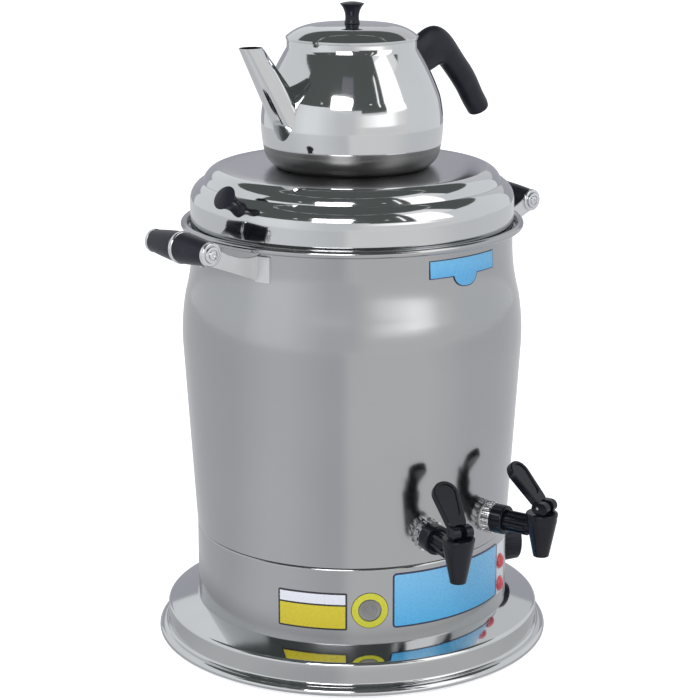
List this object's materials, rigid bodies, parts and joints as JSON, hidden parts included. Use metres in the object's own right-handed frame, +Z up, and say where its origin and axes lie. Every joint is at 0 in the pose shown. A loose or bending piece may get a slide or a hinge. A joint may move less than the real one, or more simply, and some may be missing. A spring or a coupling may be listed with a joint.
{
  "type": "electric tea maker",
  "caption": "Spun steel tea urn on a round pedestal, with black lever taps, a thermostat knob, side grips and a lift-off lid that carries a teapot with a hooked handle.",
  "frame": {"origin": "on the urn's axis, at the floor plane under the pedestal's hem", "axes": "+Z up along the urn's axis; -Y towards the front, where the taps are; +X towards the side of the teapot's handle"},
  "size_m": [0.4544, 0.4353, 0.6486],
  "materials": {
    "polished_steel": "mirror-polished stainless steel",
    "satin_steel": "satin stainless steel",
    "brushed_steel": "circular brushed stainless steel",
    "bracket_steel": "pressed stainless strip",
    "chrome": "bright chrome plate",
    "fastener_steel": "zinc plated",
    "bakelite": "moulded bakelite, soft gloss",
    "black_plastic": "moulded black plastic, satin gloss",
    "silicone": "translucent white silicone",
    "red_lens": "clear red lens",
    "grey_plastic": "matte grey",
    "electric_plastic": "matte ivory",
    "element_sheath": "dull heat-darkened sheath",
    "brass": "plain brass"
  },
  "bodies": {
    "urn": {"base_plate": "polished_steel", "body_shell": "satin_steel", "bottom_cover": "satin_steel", "bottom_cover_screws": "fastener_steel", "buzzer": "grey_plastic", "cable_gland": "black_plastic", "dry_boil_cutout": "electric_plastic", "element_nuts": "brass", "gland_nut": "black_plastic", "handle_brackets_left": "bracket_steel", "handle_brackets_right": "bracket_steel", "handle_caps_left": "chrome", "handle_caps_right": "chrome", "handle_grips_left": "bakelite", "handle_grips_right": "bakelite", "handle_ring_left": "chrome", "handle_ring_right": "chrome", "handle_rod_left": "chrome", "handle_rod_right": "chrome", "heating_element": "element_sheath", "indicator_lamp_lower": "red_lens", "indicator_lamp_upper": "red_lens", "lower_band": "satin_steel", "tank_floor": "satin_steel", "tap_back_nut_left": "black_plastic", "tap_back_nut_right": "black_plastic", "tap_body_left": "black_plastic", "tap_body_right": "black_plastic", "tap_bonnet_left": "black_plastic", "tap_bonnet_right": "black_plastic", "tap_nut_left": "chrome", "tap_nut_right": "chrome", "tap_washers_left": "silicone", "tap_washers_right": "silicone", "terminal_block": "electric_plastic", "thermostat": "electric_plastic", "thermostat_nut": "fastener_steel"},
    "thermostat_dial": {"thermostat_shaft": "chrome", "thermostat_knob": "bakelite"},
    "valve_left": {"tap_stem_left": "black_plastic", "tap_seat_cup_left": "silicone"},
    "lever_left": {"tap_lever_left": "black_plastic", "tap_pin_left": "chrome"},
    "valve_right": {"tap_stem_right": "black_plastic", "tap_seat_cup_right": "silicone"},
    "lever_right": {"tap_lever_right": "black_plastic", "tap_pin_right": "chrome"},
    "lid": {"urn_lid": "polished_steel", "lid_knob": "bakelite", "lid_knob_screw": "fastener_steel"},
    "teapot": {"pot_base": "brushed_steel", "pot_body": "polished_steel", "pot_spout": "polished_steel", "pot_handle": "bakelite", "pot_handle_tongue": "bracket_steel", "pot_handle_screw": "fastener_steel"},
    "teapot_lid": {"pot_lid": "polished_steel", "pot_lid_knob": "bakelite", "pot_knob_screw": "fastener_steel"}
  },
  "joints": [
    {"name": "lid_lift", "type": "slide", "parent": "urn", "child": "lid", "axis": [0, 0, 1], "range_m": [0, 0.12]},
    {"name": "teapot_lift", "type": "slide", "parent": "lid", "child": "teapot", "axis": [0, 0, 1], "range_m": [0, 0.15]},
    {"name": "teapot_lid_lift", "type": "slide", "parent": "teapot", "child": "teapot_lid", "axis": [0, 0, 1], "range_m": [0, 0.06]},
    {"name": "thermostat_turn", "type": "hinge", "parent": "urn", "child": "thermostat_dial", "pos_m": [0.15649, -0.06642, 0.07572], "axis": [-0.9205, 0.3907, 0], "range_deg": [0, 270]},
    {"name": "valve_left_lift", "type": "slide", "parent": "urn", "child": "valve_left", "axis": [0, 0, 1], "range_m": [0, 0.004]},
    {"name": "lever_left_pull", "type": "hinge", "parent": "valve_left", "child": "lever_left", "pos_m": [-0.05638, -0.21799, 0.1718], "axis": [0.9681, -0.2504, 0], "range_deg": [0, 50], "stiffness_Nm_per_rad": 0.25, "springref_deg": -11.46},
    {"name": "valve_right_lift", "type": "slide", "parent": "urn", "child": "valve_right", "axis": [0, 0, 1], "range_m": [0, 0.004]},
    {"name": "lever_right_pull", "type": "hinge", "parent": "valve_right", "child": "lever_right", "pos_m": [0.05638, -0.21799, 0.1718], "axis": [0.9681, 0.2504, 0], "range_deg": [0, 50], "stiffness_Nm_per_rad": 0.25, "springref_deg": -11.46}
  ],
  "couplings": [
    {"joint": "valve_left_lift", "follows": "lever_left_pull", "m_per_rad": 0.00456},
    {"joint": "valve_right_lift", "follows": "lever_right_pull", "m_per_rad": 0.00456}
  ]
}
